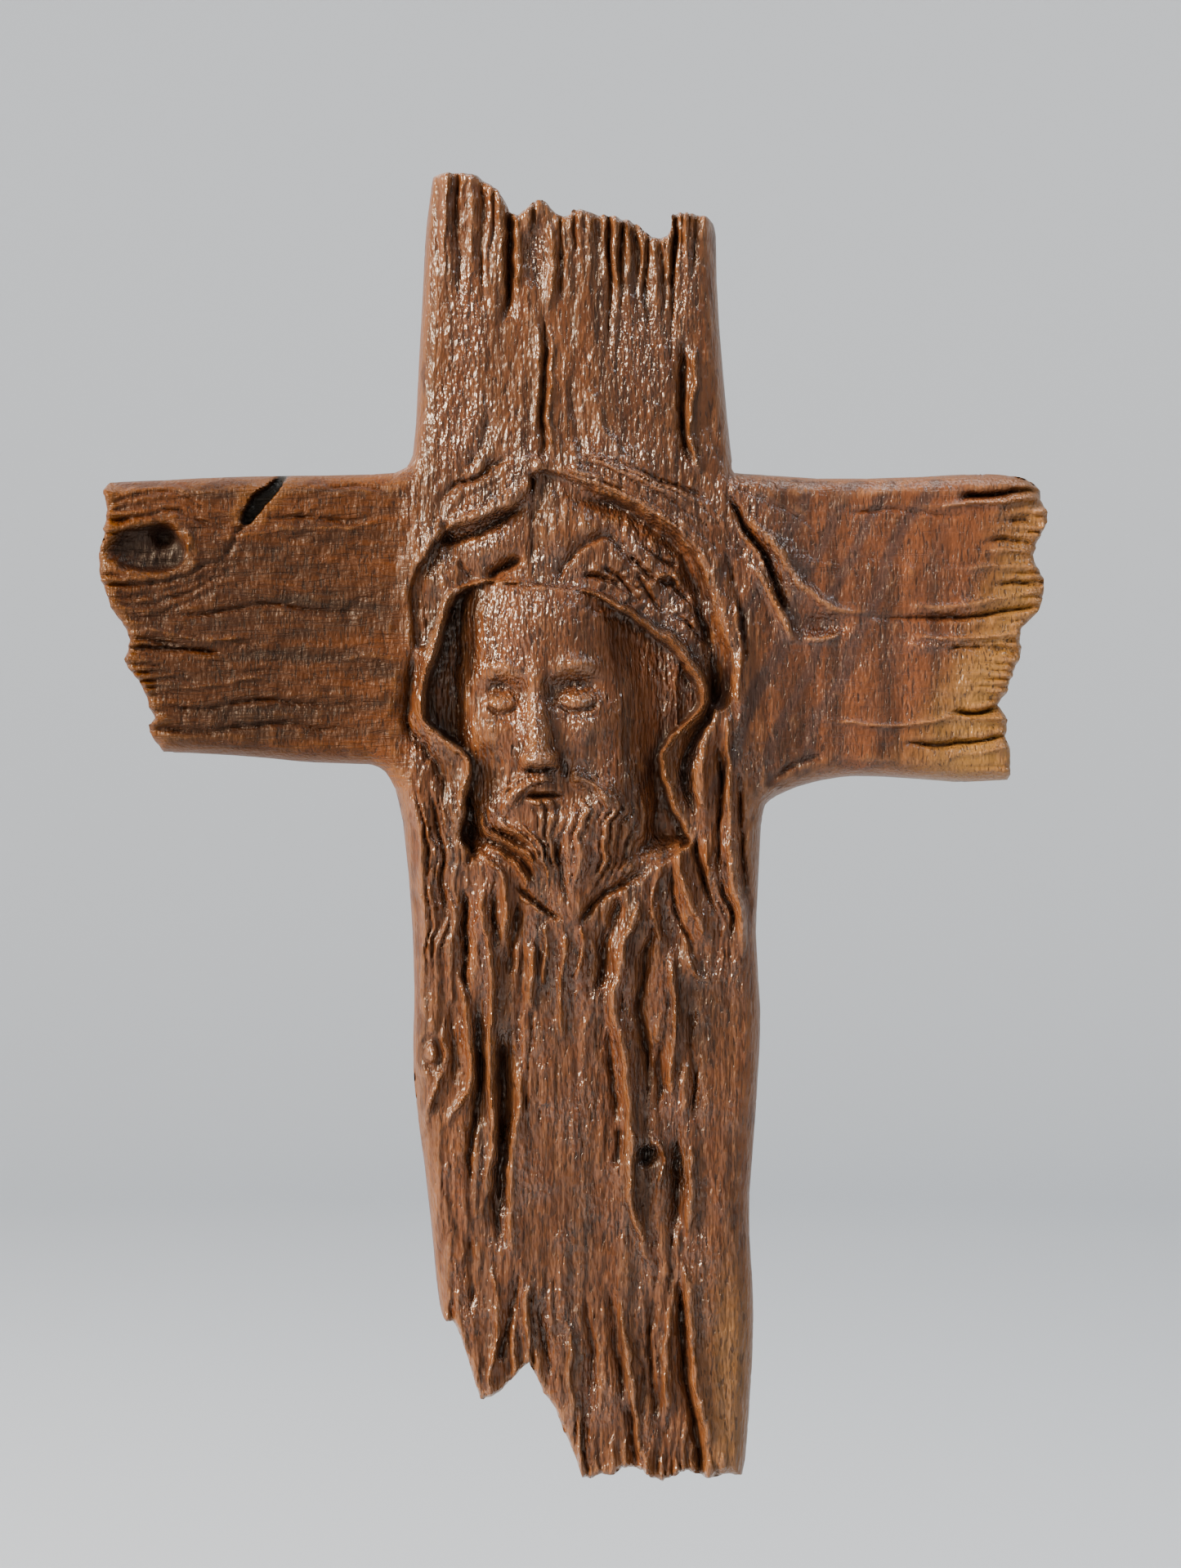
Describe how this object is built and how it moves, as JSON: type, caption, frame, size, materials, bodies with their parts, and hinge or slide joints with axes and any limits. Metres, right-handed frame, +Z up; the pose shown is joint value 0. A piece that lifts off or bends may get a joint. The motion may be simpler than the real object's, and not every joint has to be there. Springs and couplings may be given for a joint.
{
  "type": "rustic wood cross",
  "caption": "Wall cross carved from one walnut board, with broken ends, bark-like grain and a hooded, bearded head in relief at the crossing.",
  "frame": {"origin": "on the flat back, at the middle of the crossing", "axes": "+Z up the post, +Y out of the back towards the wall, so the carved front faces -Y"},
  "size_m": [0.1498, 0.0269, 0.2065],
  "materials": {
    "walnut": "oiled and varnished, satin to semi-gloss"
  },
  "bodies": {
    "root": {"cross": "walnut"}
  },
  "joints": []
}
